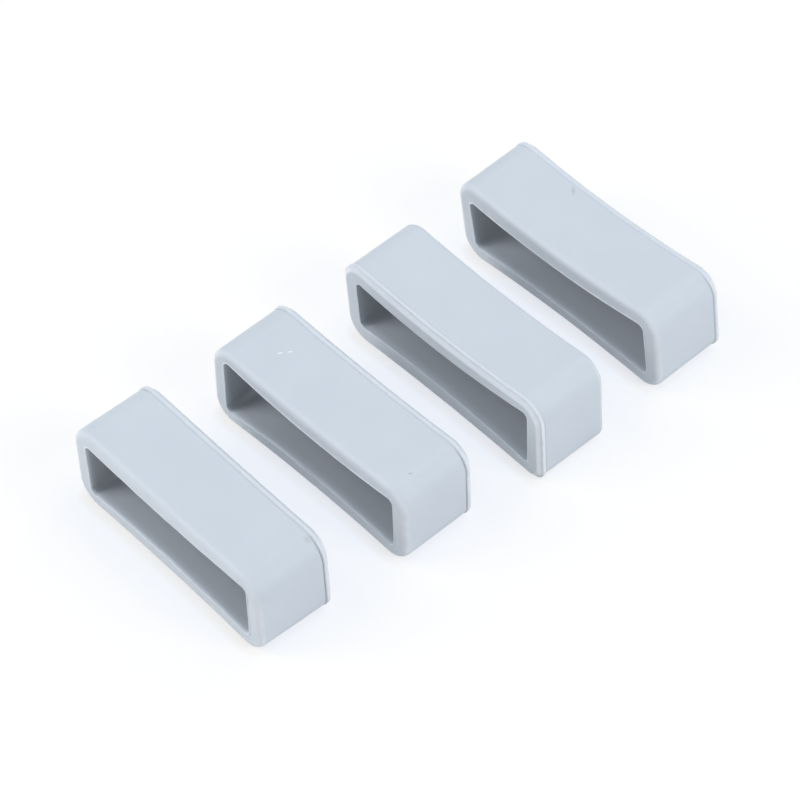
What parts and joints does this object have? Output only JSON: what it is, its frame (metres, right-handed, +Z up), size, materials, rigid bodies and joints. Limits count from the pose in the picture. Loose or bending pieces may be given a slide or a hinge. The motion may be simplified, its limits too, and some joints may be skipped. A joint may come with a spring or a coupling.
{
  "type": "watch strap keeper",
  "caption": "Soft round-cornered rectangular band, open right through, that holds down the free end of a watch strap; a set of loose ones lying in a row.",
  "frame": {"origin": "on the table, under the middle of the row's bounding box", "axes": "+Y along the row from the front keeper to the back one and along every passage, +X across the strap's width, +Z up"},
  "size_m": [0.0286, 0.0558, 0.0093],
  "materials": {
    "silicone": "satin pale blue-grey silicone"
  },
  "bodies": {
    "keeper_1": {"keeper_1": "silicone"},
    "keeper_2": {"keeper_2": "silicone"},
    "keeper_3": {"keeper_3": "silicone"},
    "keeper_4": {"keeper_4": "silicone"}
  },
  "joints": [
    {"name": "keeper_2_lift", "type": "slide", "parent": "keeper_1", "child": "keeper_2", "axis": [0, 0, 1], "range_m": [0, 0.03]},
    {"name": "keeper_3_lift", "type": "slide", "parent": "keeper_1", "child": "keeper_3", "axis": [0, 0, 1], "range_m": [0, 0.03]},
    {"name": "keeper_4_lift", "type": "slide", "parent": "keeper_1", "child": "keeper_4", "axis": [0, 0, 1], "range_m": [0, 0.03]}
  ]
}
